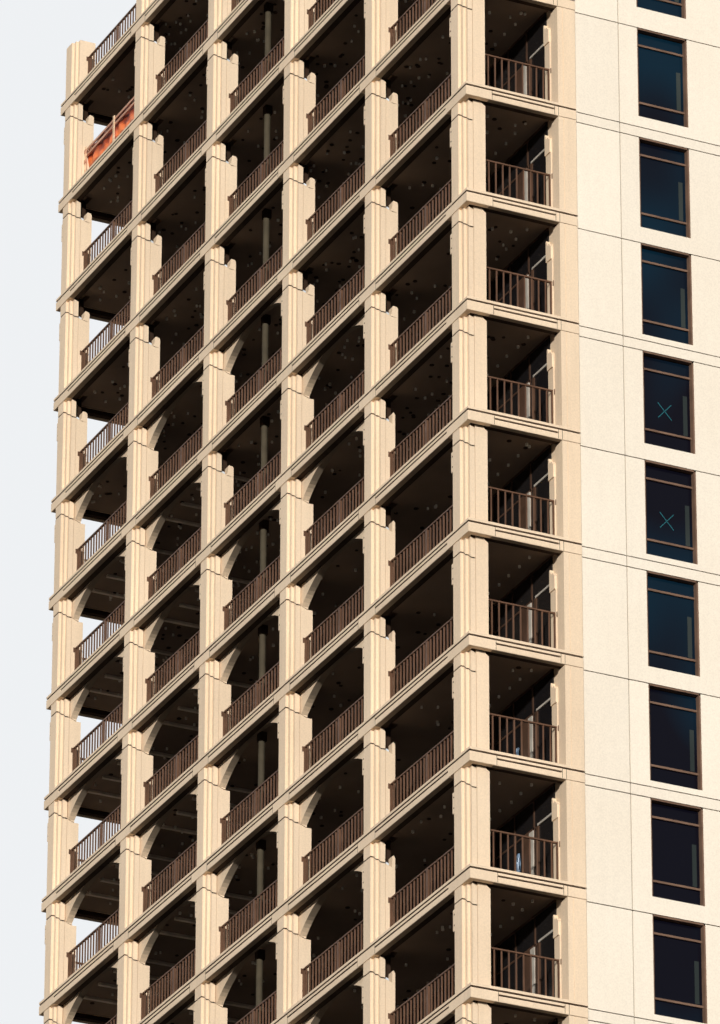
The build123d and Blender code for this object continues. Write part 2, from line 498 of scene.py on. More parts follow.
def row_box(shape, row, xs, depths, heights):
    """A box at the front or back, between two depths."""
    shape.box(*xs, *[depth_y(row, depth) for depth in depths], *heights)


def side_box(shape, side, row, depths, alongs, heights):
    """A box at a side, between two depths and two places along."""
    row_box(shape, row, [depth_x(side, depth) for depth in depths], alongs, heights)


def row_section(shape, row, xs, section):
    """A section of (depth, height) points, drawn out between two places along a row."""
    rings = [[(x, depth_y(row, depth), height) for depth, height in section] for x in sorted(xs)]
    shape.sweep(rings, turned=row > 0)


# Columns


def column_slices():
    """A column's plan as slices across it, each (start, end, depth of its face)."""
    slices = [(-NOSE / 2, NOSE / 2, COLUMN_SETBACK)]
    for step in range(STEPS):
        start = NOSE / 2 + step * TREAD
        for edges in ((start, start + TREAD), (-start - TREAD, -start)):
            slices.append((*edges, COLUMN_SETBACK + (step + 1) * RISER))
    return slices


SLICES = column_slices()


def arched(row, bay, index):
    return row < 0 and bay in range(len(ARCH_LEVELS)) and index in ARCH_LEVELS[bay]


def head_joint(beam, lift=0.0):
    """Height of the joint under a head, level across the nose and falling over the steps."""
    slope = (FLANK_JOINT - NOSE_JOINT) / (STEPS * TREAD)
    return lambda dx, depth: beam - NOSE_JOINT - slope * max(0.0, abs(dx) - NOSE / 2) + lift


def flank_top(beam, lift=0.0):
    """Height of a flank's top, falling a little from the head to the ear."""
    slope = (REAR_JOINT - FLANK_JOINT) / (EAR_START - HEAD_REAR)
    run = EAR_START - HEAD_REAR
    return lambda dx, depth: beam - FLANK_JOINT - slope * min(run, max(0.0, depth - HEAD_REAR)) + lift


def head_top(beam):
    """Height of a head's top, falling towards the rear over its outer steps."""

    def height(dx, depth):
        outer = abs(dx) > NOSE / 2 + TREAD
        return beam + HEAD_RISE - (HEAD_SLOPE * (depth - COLUMN_SETBACK) if outer else 0.0)

    return height


def sloped_box(shape, x, row, edges, depths, bottom, top):
    """A box across a column; bottom and top are heights, or give one for a place across and a depth."""
    corners = [(edges[0], depths[0]), (edges[1], depths[0]), (edges[1], depths[1]), (edges[0], depths[1])]
    points = [(x + dx, depth_y(row, depth), height(dx, depth) if callable(height) else height)
              for height in (bottom, top) for dx, depth in corners]
    shape.add(points, BOX_FACES if row < 0 else [face[::-1] for face in BOX_FACES])


def stepped_part(shape, x, row, bottom, top, inset=0.0):
    """The nose and steps of a column between two heights, back to the rear of its head."""
    for start, end, face in SLICES:
        outer = abs(start + end) > 2 * (NOSE / 2 + TREAD)
        edges = (start + (inset if start < 0 else 0), end - (inset if end > 0 else 0))
        rear = HEAD_REAR - (0.001 if outer else 0.0) - inset
        sloped_box(shape, x, row, edges, (face + inset, rear), bottom, top)


def ear(shape, row, xs, base, rear):
    """The upright seat for an arch panel at the rear of a column's flank."""
    section = [(EAR_START, 0.0), (EAR_START, 0.029), (EAR_START + 0.003, 0.033), (rear - 0.003, 0.031),
               (rear, 0.026), (rear, 0.0)]
    if rear > NARROW_REAR:
        section[:1] = [(0.041, 0.003), (0.0445, 0.005), (0.0475, 0.010), (EAR_START, 0.017)]
    row_section(shape, row, xs, [(depth, base + height) for depth, height in section])


def arch_seats(shape, number, row, index, rear):
    """Beside each bay, the block over an arch panel's end, or the ear that waits for one."""
    x = COLUMN_XS[number - 1]
    beam = LEVELS[index] - BEAM_HEIGHT
    for side, bay in ((-1, number - 2), (1, number - 1)):
        edges = sorted((side * HALF_COLUMN, side * (HALF_COLUMN - EAR_WIDTH)))
        if arched(row, bay, index):
            depths = (ARCH_FRONT, ARCH_FRONT + ARCH_THICK)
            sloped_box(shape, x, row, edges, depths, flank_top(beam, 0.0012), LEVELS[index] - SLAB)
        elif bay in range(BAYS):
            ear(shape, row, (x + edges[0], x + edges[1]), beam - REAR_JOINT, rear)


def open_flank(shape, x, row, open_side, foot, beam):
    """The outer strip of a corner column's flank, which falls to the rear."""
    front = HEAD_REAR + 0.0004
    section = [(front, foot), (front, beam + 0.004), (COLUMN_REAR - 0.014, beam + 0.004),
               (COLUMN_REAR - 0.007, beam - 0.004), (COLUMN_REAR, beam - 0.009), (COLUMN_REAR, foot)]
    edge = x + open_side * HALF_COLUMN
    row_section(shape, row, (edge, edge - open_side * OPEN_STRIP), section)


def column(name, number, row):
    """One column: casing, flank, head and seats on every storey, and an end above the roof."""
    x = COLUMN_XS[number - 1]
    shape = Shape()
    open_side = {1: -1, BAYS + 1: 1}.get(number, 0)
    flank = [side * (HALF_COLUMN - (OPEN_STRIP if side == open_side else 0.0)) for side in (-1, 1)]
    for index, (floor, level) in enumerate(zip(FLOORS, LEVELS)):
        beam = level - BEAM_HEIGHT
        foot = floor - FOOT
        narrow = row < 0 and number == NARROW_NUMBER and index < NARROW_LEVELS
        rear = NARROW_REAR if narrow else COLUMN_REAR
        shape.tint = random.uniform(0.2, 0.8)
        stepped_part(shape, x, row, foot, head_joint(beam))
        for depths in ((HEAD_REAR, EAR_START), (EAR_START, rear)):
            sloped_box(shape, x, row, flank, depths, foot, flank_top(beam))
        if open_side:
            open_flank(shape, x, row, open_side, foot, beam)
        shape.tint = random.uniform(0.3, 0.9)
        stepped_part(shape, x, row, head_joint(beam, HEAD_GAP), head_top(beam))
        shape.tint = 0.4
        arch_seats(shape, number, row, index, rear)
        if row < 0:
            pad = [beam - NOSE_JOINT - drop for drop in PAD_DROPS]
            row_box(shape, row, (x - HALF_COLUMN, x - HALF_COLUMN + PAD_WIDTH), PAD_DEPTHS, pad)
    shape.tint = 0.6
    end = (ROOF - FOOT, ROOF + COLUMN_END)
    stepped_part(shape, x, row, *end)
    row_box(shape, row, (x - HALF_COLUMN, x + HALF_COLUMN), (HEAD_REAR - 0.001, COLUMN_REAR), end)
    shape.piece(name, PRECAST, [name])


def column_details():
    """Dark filler in the columns' joints, and painted shade: a dark block behind their heads and dark discs
    for the bolt holes in the front pads.
    """
    shape = Shape()
    core = HALF_COLUMN - 0.024
    for row in ROWS.values():
        for x in COLUMN_XS:
            for level in LEVELS:
                beam = level - BEAM_HEIGHT
                # Painted shade: a dark block in the hollow behind the head.
                row_box(shape, row, (x - core, x + core), (HEAD_REAR - 0.002, NARROW_REAR - 0.001),
                        (beam - REAR_JOINT, level - SLAB))
                joint = (head_joint(beam, -0.0005), head_joint(beam, HEAD_GAP + 0.0005))
                stepped_part(shape, x, row, *joint, inset=0.0012)
                if row > 0:
                    continue
                y = depth_y(row, PAD_DEPTHS[0])
                # Painted shade: each bolt hole is a dark disc.
                for drop in BOLT_DROPS:
                    ring = circle(x - HALF_COLUMN + BOLT_ACROSS, beam - NOSE_JOINT - drop, BOLT_RADIUS, 12)
                    shape.sweep([[(px, py, pz) for px, pz in ring] for py in (y - 0.0004, y + 0.002)])
    shape.piece("column_joints_and_bolt_holes", JOINT_FILL_AND_PAINTED_SHADE)


def packing_shims():
    """Pale packing on the column flanks, in the notch between the head and an ear."""
    shape = Shape()
    for row in ROWS.values():
        for number, x in enumerate(COLUMN_XS, 1):
            for index, level in enumerate(LEVELS):
                for side, bay in ((-1, number - 2), (1, number - 1)):
                    if arched(row, bay, index) or bay not in range(BAYS):
                        continue
                    shape.tint = random.random()
                    edges = sorted(side * (HALF_COLUMN - edge) for edge in SHIM_EDGES)
                    heights = [flank_top(level - BEAM_HEIGHT, lift) for lift in SHIM_LIFTS]
                    sloped_box(shape, x, row, edges, SHIM_DEPTHS, *heights)
    shape.piece("packing_shims", SHIMS)


# Edge beams


def groove(low, high):
    """Points of a groove in a beam's face, a little narrower at its bottom."""
    return [(0, low), (GROOVE_DEPTH, low + GROOVE_SPLAY), (GROOVE_DEPTH, high - GROOVE_SPLAY), (0, high)]


def beam_section(slotted):
    """Section of an edge beam as (depth behind the face, height over the underside)."""
    points = [(FASCIA, LIP_HEIGHT), (LIP, LIP_HEIGHT), (LIP, 0), (ARRIS, 0), (0, ARRIS)]
    if slotted:
        points += groove(*SLOT)
    points += groove(*GROOVE)
    return points + [(0, BEAM_HEIGHT - ARRIS), (ARRIS, BEAM_HEIGHT), (FASCIA, BEAM_HEIGHT)]


def row_beams(shape, row, level):
    """The pieces of a level along a row, cut beside each column and mitred at the corners."""
    reach = HALF_COLUMN + 0.003
    edges = [-HALF_LENGTH, COLUMN_XS[0] + reach]
    for x in COLUMN_XS[1:]:
        edges += [x - reach, x + reach]
    edges.append(HALF_LENGTH)
    for index, (start, end) in enumerate(zip(edges, edges[1:])):
        shape.tint = 0.5 + 0.25 * sin(index * 2.3 + level * 9.1)
        section = beam_section(slotted=end - start > BAY / 2)
        rings = []
        for x in (start, end):
            ring = []
            for depth, height in section:
                mitred = copysign(HALF_LENGTH - depth, x) if abs(x) == HALF_LENGTH else x
                ring.append((mitred, depth_y(row, depth), level - BEAM_HEIGHT + height))
            rings.append(ring)
        shape.sweep(rings, turned=row > 0)


def side_beams(shape, side, row, level):
    """The pieces of a level along an open corner bay, from the mitre to the pier's end."""
    cuts = [0.0, *SIDE_SLOT, PIER_END]
    for index, ends in enumerate(zip(cuts, cuts[1:])):
        shape.tint = 0.5 + 0.2 * sin(index * 1.7 + level * 5.3 + side)
        rings = []
        for along in ends:
            rings.append([(depth_x(side, depth), depth_y(row, along or depth), level - BEAM_HEIGHT + height)
                          for depth, height in beam_section(slotted=index == 1)])
        shape.sweep(rings, turned=side * row < 0)


def edge_beams(name, row):
    """Bands along a row and its corner bays, with a groove all along and a slot in each bay."""
    shape = Shape()
    for level in LEVELS:
        row_beams(shape, row, level)
        for side in (-1, 1):
            side_beams(shape, side, row, level)
    shape.piece(name, PRECAST, [name])


def band_painted_shade_undersides(name, row):
    """The undersides of the edge beams, darkened: painted shade."""
    shape = Shape()
    depths = (0.0012, LIP + 0.0002)
    for level in LEVELS:
        heights = lifted((-0.0004, 0.0006), level - BEAM_HEIGHT)
        # Painted shade: low tints make these skins dark.
        for bay in range(BAYS):
            shape.tint = random.uniform(0.12, 0.2)
            row_box(shape, row, bay_ends(bay, 0.001), depths, heights)
        for side in (-1, 1):
            shape.tint = random.uniform(0.12, 0.2)
            side_box(shape, side, row, depths, (COLUMN_REAR, PIER_START), heights)
    shape.piece(name, PAINTED_SHADE_UNDERSIDES)


def band_lines(name, row):
    """Dark filler in the beams' joints, and dark strips in their grooves and slots and behind their lips:
    painted shade in those recesses.
    """
    shape = Shape()
    behind_lip = (LIP + 0.0003, FASCIA + 0.0001)
    side_end = PIER_END - 0.001
    side_slot = (SIDE_SLOT[0] + 0.001, SIDE_SLOT[1] - 0.001)
    for level in LEVELS:
        base = level - BEAM_HEIGHT
        in_groove = lifted(GROOVE, base)
        in_slot = lifted(SLOT, base)
        over_lip = (base + 0.001, base + LIP_HEIGHT - 0.0002)
        in_joint = (base + 0.001, base + GROOVE[0])
        # Painted shade: dark strips in the grooves, the slots and the recess behind the lip, along the row and
        # at the sides.
        row_box(shape, row, (-HALF_LENGTH + 0.003, HALF_LENGTH - 0.003), FILLER, in_groove)
        for bay in range(BAYS):
            row_box(shape, row, bay_ends(bay, 0.004), FILLER, in_slot)
        row_box(shape, row, (-HALF_LENGTH + behind_lip[0], HALF_LENGTH - behind_lip[0]), behind_lip, over_lip)
        for side in (-1, 1):
            side_box(shape, side, row, behind_lip, (FASCIA + 0.0002, side_end), over_lip)
            side_box(shape, side, row, SIDE_FILLER, (0.003, side_end), in_groove)
            side_box(shape, side, row, SIDE_FILLER, side_slot, in_slot)
            for along in (*SIDE_SLOT, PIER_START):
                side_box(shape, side, row, LINE_DEPTHS, (along - LINE_HALF, along + LINE_HALF), in_joint)
        for x in COLUMN_XS[1:-1]:
            for edge in (x - HALF_COLUMN - 0.004, x + HALF_COLUMN + 0.004):
                row_box(shape, row, (edge - LINE_HALF, edge + LINE_HALF), LINE_DEPTHS, in_joint)
    shape.piece(name, JOINT_FILL_AND_PAINTED_SHADE)


# Arch panels


def arch_segment(shape, xs, lows, highs, ys, closed):
    """One straight segment of an arch; closed names the further faces it has."""
    outline = [(xs[0], lows[0]), (xs[1], lows[1]), (xs[1], highs[1]), (xs[0], highs[0])]
    further = {"top": [3, 2, 6, 7], "start": [4, 0, 3, 7], "end": [1, 5, 6, 2]}
    faces = [[0, 1, 2, 3], [7, 6, 5, 4], [4, 5, 1, 0]] + [further[name] for name in closed]
    shape.add([(x, y, z) for y in ys for x, z in outline], faces)


def arch(panels, under, bay, top):
    """One arch panel under a slab, and the skin on its underside, darker away from its ends: painted light and
    shade along the curve.
    """
    start, end = bay_ends(bay)
    clear = end - start
    rise = BEAM_HEIGHT - SLAB + FLANK_JOINT - ARCH_CROWN
    radius = (clear * clear / 4 + rise * rise) / (2 * rise)
    centre_x = start + clear / 2
    centre_z = top - ARCH_CROWN - radius
    front, back = depth_y(-1, ARCH_FRONT), depth_y(-1, ARCH_FRONT + ARCH_THICK)
    last = ARCH_SEGMENTS - 1
    for k in range(ARCH_SEGMENTS):
        xs = [start + clear * (k + j) / ARCH_SEGMENTS for j in (0, 1)]
        zs = [centre_z + sqrt(radius ** 2 - (x - centre_x) ** 2) for x in xs]
        ends = ["start"] * (k == 0) + ["end"] * (k == last)
        arch_segment(panels, xs, zs, (top, top), (front, back), ends)
        # Painted light and shade: a full tint near each springing, falling to dark towards the crown.
        from_end = min(k, last - k) / ARCH_SEGMENTS
        under.tint = max(0.0, min(1.0, 1.1 - from_end / 0.10))
        skin = ([z - 0.0005 for z in zs], [z + 0.0003 for z in zs])
        arch_segment(under, xs, *skin, (front + 0.0006, back + 0.0003), ["top", "start", "end"])


def arch_panels():
    """Arch panels with painted shade on their undersides, and battens on the slabs behind the lower ones."""
    panels = Shape()
    under = Shape()
    battens = Shape()
    for index, level in enumerate(LEVELS):
        top = level - SLAB
        for bay in range(BAYS):
            if not arched(-1, bay, index):
                continue
            panels.tint = random.uniform(0.3, 0.8)
            arch(panels, under, bay, top)
            if index >= BATTEN_LEVELS or bay >= BATTEN_BAYS:
                continue
            start, end = bay_ends(bay)
            for k in range(BATTENS_A_BAY):
                x = start + (end - start) * (k + 0.5) / BATTENS_A_BAY
                row_box(battens, -1, (x - BATTEN_HALF, x + BATTEN_HALF), BATTEN_DEPTHS,
                        (top - BATTEN_DROP, top + 0.001))
    battens.piece("soffit_battens", BATTENS)
    under.piece("arch_underside_painted_shade", PAINTED_SHADE_UNDERSIDES)
    panels.piece("arch_panels", PRECAST, ["front_arch_panels"])


# Railings


def rail_run(shape, start, end, fixed, along_x, floor):
    """Rails, end flanges, posts and balusters from start to end at a fixed cross place."""

    def bar(a0, a1, half_across, z0, z1):
        if along_x:
            shape.box(a0, a1, fixed - half_across, fixed + half_across, z0, z1)
        else:
            shape.box(fixed - half_across, fixed + half_across, a0, a1, z0, z1)

    top = floor + RAIL_HEIGHT
    under_rail = top - 0.003
    bar(start, end, RAIL_HALF, top - RAIL_THICK, top)
    for flange in ((start, start + FLANGE), (end - FLANGE, end)):
        bar(*flange, 0.0075, top - 0.013, top + 0.001)
    bar(start, end, 0.0020, *lifted(LOW_RAIL, floor))
    length = end - start
    middle = (start + end) / 2
    posts = [start + END_POST_HALF, end - END_POST_HALF] + ([middle] if length > LONG_RUN else [])
    for centre in posts:
        half = MIDDLE_POST_HALF if centre == middle else END_POST_HALF
        bar(centre - half, centre + half, 0.0028, floor, under_rail)
    count = round(length / BALUSTER_PITCH)
    for k in range(1, count):
        place = start + length * k / count
        if min(abs(place - centre) for centre in posts) > POST_CLEARANCE:
            bar(place - BALUSTER_HALF, place + BALUSTER_HALF, 0.0018, floor + LOW_RAIL[1] - 0.001, under_rail)


def railings():
    """Railings of all bays and open corners; the guard takes the place of one."""
    for name, row in ROWS.items():
        shape = Shape()
        for index, level in enumerate(LEVELS):
            for bay in range(BAYS):
                if row > 0 or (bay, index) != (GUARD_BAY, GUARD_LEVEL):
                    rail_run(shape, *bay_ends(bay), depth_y(row, RAIL_SETBACK), True, level)
        shape.piece(f"{name}_railing_bars", BRONZE, [f"{name}_railings"])
    for name, side in SIDES.items():
        shape = Shape()
        for level in LEVELS:
            for row in (-1, 1):
                ends = sorted(depth_y(row, along) for along in (COLUMN_REAR, PIER_START))
                rail_run(shape, *ends, depth_x(side, RAIL_SETBACK), False, level)
        shape.piece(f"{name}_railing_bars", BRONZE, [f"{name}_railings"])


# Panelled sides


def pier_storey(shape, side, row, floor, level):
    """A pier's casing, with a narrow rebate beside the open bay, and its core up to the slab."""
    rebate = PIER_START + PIER_REBATE
    rear = FASCIA + 0.005
    casing = [(ARRIS, PIER_START), (rear, PIER_START), (rear, PIER_END), (ARRIS, PIER_END),
              (ARRIS, rebate + 0.0015), (0.0022, rebate + 0.001), (0.0022, rebate), (ARRIS, rebate - 0.0005)]
    core_start = PIER_START + PIER_CORE
    core = [(FASCIA, core_start), (PIER_DEPTH, core_start), (PIER_DEPTH, PIER_END), (FASCIA, PIER_END)]
    for plan, top in ((casing, level - BEAM_HEIGHT - 0.0012), (core, level - SLAB)):
        shape.prism([(depth_x(side, depth), depth_y(row, along)) for depth, along in plan], floor, top)


def pier_seat(shape, side, row, floor, level):
    """The strip on a pier's flank towards the open bay, with a hollowed seat at its top, tinted lighter than
    the strip: painted light.
    """
    front = FASCIA + 0.007
    top = level - BEAM_HEIGHT - 0.062
    # Painted light: a low tint for the strip, a high one for the seat at its top.
    shape.tint = 0.25
    side_box(shape, side, row, (front, PIER_DEPTH - 0.0005), (PIER_START - 0.003, PIER_START + 0.005),
             (floor, top - SEAT_DROP))
    shape.tint = 0.95
    hollow = [(0.065, 0.037), (0.060, 0.024), (0.0575, 0.020), (0.054, 0.024), (0.049, 0.022), (0.0455, 0.016)]
    section = [(front, -SEAT_DROP), (PIER_DEPTH, -SEAT_DROP), (PIER_DEPTH, 0.035), *hollow, (front, 0.012)]
    rings = [[(depth_x(side, depth), depth_y(row, along), top + height) for depth, height in section]
             for along in (PIER_START - 0.006, PIER_START + 0.005)]
    shape.sweep(rings, turned=side * row < 0)


def piers(name, side):
    """The two piers of a side, a storey high each."""
    shape = Shape()
    for row in (-1, 1):
        for floor, level in zip(FLOORS, LEVELS):
            shape.tint = random.uniform(0.3, 0.7)
            pier_storey(shape, side, row, floor, level)
            pier_seat(shape, side, row, floor, level)
    shape.piece(name, PRECAST, [name])


def wall_panels(name, side):
    """Panels with open joints, cut round the windows, and a low band over every other joint."""
    shape = Shape()
    depths = (PANEL_SETBACK, PANEL_SETBACK + PANEL)
    gap = JOINT / 2
    near = (PIER_END, PANEL_JOINT - gap)
    far = (PANEL_JOINT + gap, HALF_DEPTH - gap)
    for index, (low, high) in enumerate(zip(JOINT_HEIGHTS, JOINT_HEIGHTS[1:])):
        banded = index % 2 == 1
        bottom = low + BAND_JOINT + gap if banded else low
        head = high - JOINT
        for row in (-1, 1):
            shape.tint = random.uniform(0.25, 0.85)
            side_box(shape, side, row, depths, near, (bottom, head))
            shape.tint = random.uniform(0.25, 0.85)
            parts = [(far[0], WINDOW_START, head), (WINDOW_END, far[1], head),
                     (WINDOW_START, WINDOW_END, high - WINDOW_HEIGHT - gap)]
            if high == JOINT_HEIGHTS[-1]:
                parts = [(*far, high)]
            for start, end, top in parts:
                side_box(shape, side, row, depths, (start, end), (bottom, top))
            if banded:
                shape.tint = random.uniform(0.35, 0.5)
                for alongs in (near, far):
                    side_box(shape, side, row, depths, alongs, (low, low + BAND_JOINT - gap))
    shape.piece(f"{name}_panels", PANELS, [f"{name}_wall_panels"])


def panel_backing(name, side):
    """Dark filler behind the joints of the panels, clear of the windows."""
    shape = Shape()
    depths = (PANEL_SETBACK + 0.004, PANEL_SETBACK + PANEL - 0.002)
    for row in (-1, 1):
        for alongs in ((PIER_END - 0.001, WINDOW_START - 0.001), (WINDOW_END + 0.001, HALF_DEPTH)):
            side_box(shape, side, row, depths, alongs, (GROUND_TOP, ROOF + 0.1))
        for low in JOINT_HEIGHTS[1:-1]:
            side_box(shape, side, row, depths, (WINDOW_START - 0.001, WINDOW_END + 0.001),
                     (low + 0.001, min(low + 0.030, ROOF)))
    shape.piece(f"{name}_panel_joints", JOINT_FILL_AND_PAINTED_SHADE)


def window_bars(sill, head):
    """The bars of a window's frame, each (depth of its face in the panels, places along, heights)."""
    start, end = WINDOW_START, WINDOW_END
    lined, flush, inset = 0.0012, 0.006, 0.012
    return [
        (lined, (start, start + 0.0030), (sill, head)),
        (lined, (end - 0.0042, end), (sill, head)),
        (flush, (start, end), (sill, sill + 0.003)),
        (lined, (start, end), (head - 0.004, head)),
        (inset, (start, end), (head - 0.046, head - 0.0405)),
        (inset, (start, end), (sill + 0.0445, sill + 0.050)),
    ]


def window_tape():
    """Crosses of tape on two panes of the right side, next to the front."""
    shape = Shape()
    band = ((0.0002, -0.0016), (0.0008, -0.0016), (0.0008, 0.0016), (0.0002, 0.0016))
    glass = depth_x(1, GLASS_DEPTH)
    middle = depth_y(-1, WINDOW_START + TAPE_MIDDLE[0])
    for index in TAPE_LEVELS:
        height = LEVELS[index] - BEAM_HEIGHT - TAPE_MIDDLE[1]
        for way in (-1, 1):
            ends = [(middle + end * TAPE_REACH[0], height + end * way * TAPE_REACH[1]) for end in (-1, 1)]
            shape.sweep([[(glass + dx, y, z + dz) for dx, dz in band] for y, z in ends])
    shape.piece("window_tape", TAPE)


def windows(name, side):
    """Dark panes in frames with a transom and a low rail, and a narrow blind each."""
    panes = Shape()
    frames = Shape()
    blinds = Shape()
    glass = (GLASS_DEPTH, GLASS_DEPTH + 0.003)
    blind = lifted(BLIND_ALONG, WINDOW_START)
    for level in LEVELS:
        head = level - BEAM_HEIGHT - JOINT / 2
        sill = head - WINDOW_HEIGHT
        for row in (-1, 1):
            panes.tint = random.random()
            side_box(panes, side, row, glass, (WINDOW_START, WINDOW_END), (sill, head))
            for face, alongs, heights in window_bars(sill, head):
                side_box(frames, side, row, (PANEL_SETBACK + face, PANEL_SETBACK + 0.0245), alongs, heights)
            heights = lifted(BLIND_HEIGHTS, sill)
            side_box(blinds, side, row, (GLASS_DEPTH - 0.0006, GLASS_DEPTH), blind, heights)
    if side > 0:
        window_tape()
    blinds.piece(f"{name}_window_blinds", BLINDS)
    panes.piece(f"{name}_window_panes", GLASS, [f"{name}_windows"])
    frames.piece(f"{name}_window_frames", FRAMES)


# Loggias


def loggia_frames(name, row):
    """Mullions and rails of the glazed wall behind a row, with a closed door by each end."""
    frames = Shape()
    linings = Shape()
    wall, leaf, proud = [(PIER_START - out, PIER_START + 0.004) for out in (0.002, 0.004, 0.005)]
    for floor, level in zip(FLOORS, LEVELS):
        top = level - SLAB
        door = floor + DOOR_HEAD
        for k in range(1, MULLIONS):
            x = -INNER_WIDTH + 2 * INNER_WIDTH * k / MULLIONS
            row_box(frames, row, (x - 0.003, x + 0.003), wall, (floor, top))
        for cut, low, high in ((0, floor, floor + 0.006), (0, top - 0.006, top), (0.1, door, door + 0.005)):
            row_box(frames, row, (cut - INNER_WIDTH, INNER_WIDTH - cut), wall, (low, high))
        for side in (-1, 1):
            for shape, edges, depths, heights in (
                (frames, (0.160, 0.127), leaf, (floor, door)),
                (frames, (0.088, 0.078), leaf, (floor, door)),
                (linings, (0.001, 0.082), leaf, (door, door + 0.006)),
                (linings, (0.104, 0.125), proud, (floor, door - 0.003)),
            ):
                row_box(shape, row, [side * (INNER_WIDTH - edge) for edge in edges], depths, heights)
    linings.piece(f"{name}_door_linings", LININGS)
    frames.piece(f"{name}_glazing_frames", FRAMES_IN_PAINTED_SHADE)


def scattered(shape, count, depths, radii):
    """Places picked at random under a slab, each (shape, x, depth, radius)."""
    ranges = ((-FIXINGS_REACH, FIXINGS_REACH), depths, radii)
    return [(shape, *[random.uniform(*ends) for ends in ranges]) for _ in range(count)]


def soffit_fixings(name, row):
    """Pale inserts and dark pockets under the slabs, and a row of inserts by the glazing."""
    inserts = Shape()
    pockets = Shape()
    for index, level in enumerate(LEVELS):
        top = level - SLAB
        places = [(inserts, FIXINGS_PITCH * k - FIXINGS_REACH, 0.214 + random.uniform(-0.002, 0.002), 0.0034)
                  for k in range(FIXINGS_IN_ROW)]
        count = 95 if index >= BUSY_LEVEL else 34
        places += scattered(inserts, count, (0.060, 0.205), (0.0026, 0.0040))
        places += scattered(pockets, count, (0.060, 0.225), (0.0040, 0.0066))
        for shape, x, depth, radius in places:
            shape.tint = random.random()
            drop = 0.0065 if shape is inserts else 0.0022
            shape.prism(circle(x, depth_y(row, depth), radius, 6), top - drop, top + 0.0005)
    inserts.piece(f"{name}_inserts", FIXINGS)
    pockets.piece(f"{name}_pockets", JOINT_FILL_AND_PAINTED_SHADE)


def door_film():
    """Crumpled film at the doors of the right-hand loggias, wider on one storey, its faces tinted at random
    from dark to pale blue: painted glints and shade.
    """
    shape = Shape()
    outer = INNER_WIDTH - 0.168
    y = depth_y(-1, PIER_START - 0.010)
    across, down = 12, 14
    for index, level in enumerate(LEVELS[:-1]):
        if index == WIDE_FILM_LEVEL:
            width, height, low, narrowing = 0.075, 0.095, 0.002, 0.75
        else:
            width = random.uniform(0.014, 0.026)
            height = random.uniform(0.07, 0.16)
            low = random.uniform(0.002, 0.03)
            narrowing = 0.3
        points = []
        for i in range(across + 1):
            for j in range(down + 1):
                a, b = i / across, 1 - j / down
                crumple = 0.0018 * sin(9 * a + 5 * b + index) + random.uniform(-0.0008, 0.0008)
                crumple += 0.0014 * sin(14 * b - 6 * a + 2 * index)
                x = outer - width * (1 - narrowing * b) * (1 - a)
                points.append((x, y + crumple, level + low + height * b))
        shape.sheet(points, across, down, 0.0008, lambda i, j: random.random())
    shape.piece("door_film", FILM)


def inner_posts():
    """A round post in the middle of the third front bay on every storey, under a dark bracket."""
    posts = Shape()
    brackets = Shape()
    x = (COLUMN_XS[2] + COLUMN_XS[3]) / 2
    ring = circle(x, depth_y(-1, POST_DEPTH), POST_RADIUS, 24)
    for floor, level in zip(FLOORS, LEVELS):
        top = level - SLAB
        posts.tint = random.random()
        posts.prism(ring, floor, top - POST_BRACKET)
        row_box(brackets, -1, (x - 0.0095, x + 0.0095), (POST_DEPTH - 0.009, POST_DEPTH + 0.011),
                (top - POST_BRACKET - 0.001, top + 0.001))
    brackets.piece("loggia_post_brackets", JOINT_FILL_AND_PAINTED_SHADE)
    posts.piece("loggia_posts", POSTS)


# Guard


def guard_timber(start, end, y, floor):
    """The rails of the guard, the posts in front of them and the brackets at its left end."""
    rails = Shape()
    posts = Shape()
    for top in GUARD_RAILS:
        rails.box(start, end, y - 0.0038, y - 0.0008, floor + top - 0.0075, floor + top)
    for x in (start, (start + end - GUARD_POST) / 2, end - GUARD_POST):
        posts.box(x, x + GUARD_POST, y - 0.0068, y - 0.0038, floor, floor + GUARD_POST_HEIGHT)
    for top in GUARD_BRACKETS:
        rails.box(start - 0.002, start + 0.010, y - 0.0085, y - 0.0038, floor + top - 0.012, floor + top)
    rails.piece("guard_rails", RAIL_WOOD, ["temporary_guard"])
    posts.piece("guard_posts", POST_WOOD)


def guard_sheet(start, end, y, floor):
    """The sheet behind the guard's rails, which sags between the posts and falls in slanting folds; its colour
    runs by height, with painted shade at the top and a painted lit band below it.
    """
    shape = Shape()
    columns, rows = 150, 24
    points = []
    for i in range(columns + 1):
        along = i / columns
        sag = 0.003 * sin(pi * ((along * 2) % 1.0))
        for j in range(rows + 1):
            down = j / rows
            slant = along * 19 + down * 5.5
            fold = 0.0022 * sin(slant) + 0.0016 * sin(2.3 * slant + 1.1)
            fold += 0.0012 * sin(along * 70 - 9 * down)
            height = 0.136 - sag * (1 - down) - 0.126 * down
            points.append((start + (end - start) * along, y + 0.0045 + fold, floor + height))

    # Tint by height, wavering along the sheet; it places the painted shade and the painted lit band.
    def band(i, j):
        return (j + 0.5) / rows - 0.125 + 0.05 * sin(i * 0.11) + 0.04 * sin(i * 0.29 + 1.0)

    shape.sheet(points, columns, rows, 0.0006, band)
    shape.piece("guard_sheet", ORANGE_SHEET)


